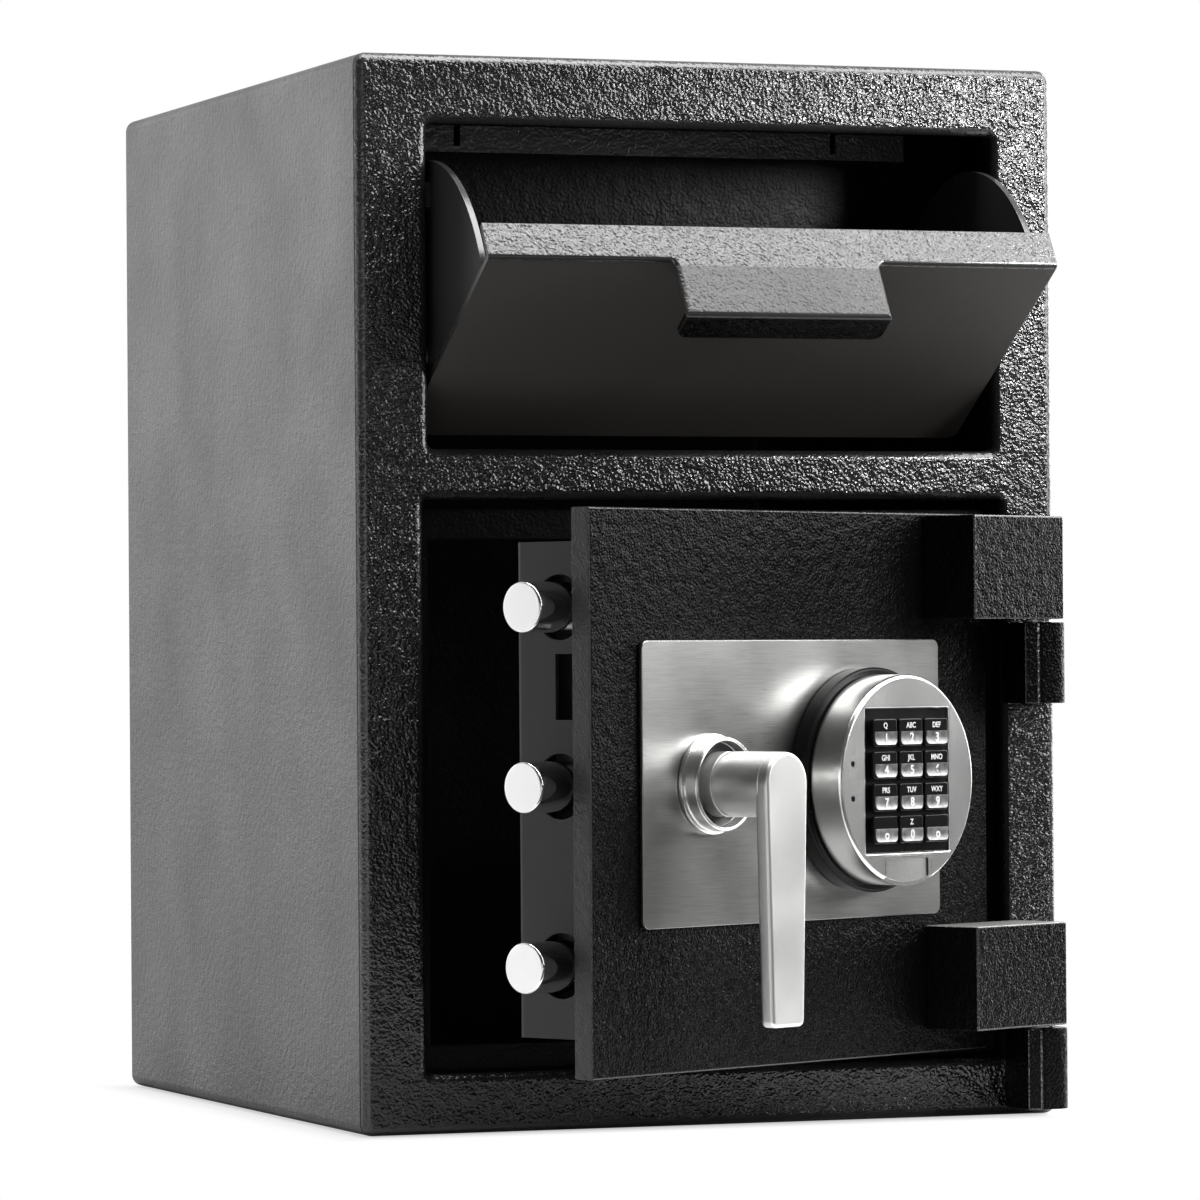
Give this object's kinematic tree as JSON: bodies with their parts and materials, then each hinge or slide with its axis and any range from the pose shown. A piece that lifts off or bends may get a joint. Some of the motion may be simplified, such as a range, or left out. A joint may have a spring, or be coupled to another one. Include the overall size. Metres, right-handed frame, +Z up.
{
  "type": "drop safe with deposit drawer",
  "caption": "Floor-standing steel drop safe with a rotary deposit drawer over a keypad door that has a lever handle and round locking bolts.",
  "frame": {"origin": "middle of the underside of the body, on the floor", "axes": "+Z up; -Y is the front, with the drawer and the door; +X is to the right seen from the front"},
  "size_m": [0.3556, 0.5532, 0.508],
  "materials": {
    "shell": "black textured powder coat",
    "drawer": "black satin paint",
    "inner": "dark grey paint",
    "zinc": "zinc plated",
    "rubber": "matt",
    "chrome": "bright chrome",
    "brushed": "horizontally brushed stainless",
    "satin": "satin nickel",
    "keypad": "satin",
    "lamp": "gloss"
  },
  "bodies": {
    "body": {"back_panel": "shell", "baffle_channel": "inner", "body_wrap": "shell", "door_stop_frame": "inner", "drawer_guard": "inner", "fishing_baffle": "inner", "floor_bumper_left": "rubber", "floor_bumper_right": "rubber", "front_frame": "shell", "hinge_knuckle_lower": "shell", "hinge_knuckle_upper": "shell", "hinge_pin_lower": "zinc", "hinge_pin_upper": "zinc", "hinge_washer_lower": "zinc", "hinge_washer_upper": "zinc", "pivot_bracket_left": "inner", "pivot_bracket_right": "inner", "pivot_pin_left": "zinc", "pivot_pin_right": "zinc"},
    "drawer": {"drawer_cheek_left": "drawer", "drawer_cheek_right": "drawer", "drawer_floor": "drawer", "drawer_panel": "drawer"},
    "door": {"bolt_box": "inner", "bolt_guide": "zinc", "door_plate": "shell", "escutcheon": "brushed", "hinge_block_lower": "shell", "hinge_block_upper": "shell", "key_mat": "keypad", "keypad_base": "keypad", "keypad_housing": "satin", "lamp_lower": "lamp", "lamp_upper": "lamp", "lever_rosette": "satin", "lock_case": "zinc"},
    "lever": {"lever_handle": "satin", "lever_spindle": "zinc", "drive_cam": "zinc"},
    "bolts": {"bolt_bar": "zinc", "bolt_lower": "chrome", "bolt_middle": "chrome", "bolt_upper": "chrome"},
    "key_0_button": {"key_0": "keypad"},
    "key_1_button": {"key_1": "keypad"},
    "key_2_button": {"key_2": "keypad"},
    "key_3_button": {"key_3": "keypad"},
    "key_4_button": {"key_4": "keypad"},
    "key_5_button": {"key_5": "keypad"},
    "key_6_button": {"key_6": "keypad"},
    "key_7_button": {"key_7": "keypad"},
    "key_8_button": {"key_8": "keypad"},
    "key_9_button": {"key_9": "keypad"},
    "key_left_button": {"key_left": "keypad"},
    "key_right_button": {"key_right": "keypad"},
    "battery_cover_plate": {"battery_cover": "satin"}
  },
  "joints": [
    {"name": "drawer_pivot", "type": "hinge", "parent": "body", "child": "drawer", "pos_m": [0.0016, -0.1797, 0.3659], "axis": [1, 0, 0], "range_deg": [-58.5, 0]},
    {"name": "door_hinge", "type": "hinge", "parent": "body", "child": "door", "pos_m": [0.159, -0.2171, 0.165], "axis": [0, 0, 1], "range_deg": [-28.4, 86.6]},
    {"name": "lever_turn", "type": "hinge", "parent": "door", "child": "lever", "pos_m": [-0.04481, -0.30797, 0.165], "axis": [0.4756, -0.8796, 0], "range_deg": [-90, 0]},
    {"name": "bolt_slide", "type": "slide", "parent": "door", "child": "bolts", "axis": [0.8796, 0.4756, 0], "range_m": [0, 0.0241]},
    {"name": "key_0_press", "type": "slide", "parent": "door", "child": "key_0_button", "axis": [-0.4756, 0.8796, 0], "range_m": [0, 0.001], "stiffness_N_per_m": 400},
    {"name": "key_1_press", "type": "slide", "parent": "door", "child": "key_1_button", "axis": [-0.4756, 0.8796, 0], "range_m": [0, 0.001], "stiffness_N_per_m": 400},
    {"name": "key_2_press", "type": "slide", "parent": "door", "child": "key_2_button", "axis": [-0.4756, 0.8796, 0], "range_m": [0, 0.001], "stiffness_N_per_m": 400},
    {"name": "key_3_press", "type": "slide", "parent": "door", "child": "key_3_button", "axis": [-0.4756, 0.8796, 0], "range_m": [0, 0.001], "stiffness_N_per_m": 400},
    {"name": "key_4_press", "type": "slide", "parent": "door", "child": "key_4_button", "axis": [-0.4756, 0.8796, 0], "range_m": [0, 0.001], "stiffness_N_per_m": 400},
    {"name": "key_5_press", "type": "slide", "parent": "door", "child": "key_5_button", "axis": [-0.4756, 0.8796, 0], "range_m": [0, 0.001], "stiffness_N_per_m": 400},
    {"name": "key_6_press", "type": "slide", "parent": "door", "child": "key_6_button", "axis": [-0.4756, 0.8796, 0], "range_m": [0, 0.001], "stiffness_N_per_m": 400},
    {"name": "key_7_press", "type": "slide", "parent": "door", "child": "key_7_button", "axis": [-0.4756, 0.8796, 0], "range_m": [0, 0.001], "stiffness_N_per_m": 400},
    {"name": "key_8_press", "type": "slide", "parent": "door", "child": "key_8_button", "axis": [-0.4756, 0.8796, 0], "range_m": [0, 0.001], "stiffness_N_per_m": 400},
    {"name": "key_9_press", "type": "slide", "parent": "door", "child": "key_9_button", "axis": [-0.4756, 0.8796, 0], "range_m": [0, 0.001], "stiffness_N_per_m": 400},
    {"name": "key_left_press", "type": "slide", "parent": "door", "child": "key_left_button", "axis": [-0.4756, 0.8796, 0], "range_m": [0, 0.001], "stiffness_N_per_m": 400},
    {"name": "key_right_press", "type": "slide", "parent": "door", "child": "key_right_button", "axis": [-0.4756, 0.8796, 0], "range_m": [0, 0.001], "stiffness_N_per_m": 400},
    {"name": "battery_cover_slide", "type": "slide", "parent": "door", "child": "battery_cover_plate", "axis": [0, 0, -1], "range_m": [0, 0.012]}
  ],
  "couplings": [
    {"joint": "bolt_slide", "follows": "lever_turn", "m_per_rad": -0.015279}
  ]
}
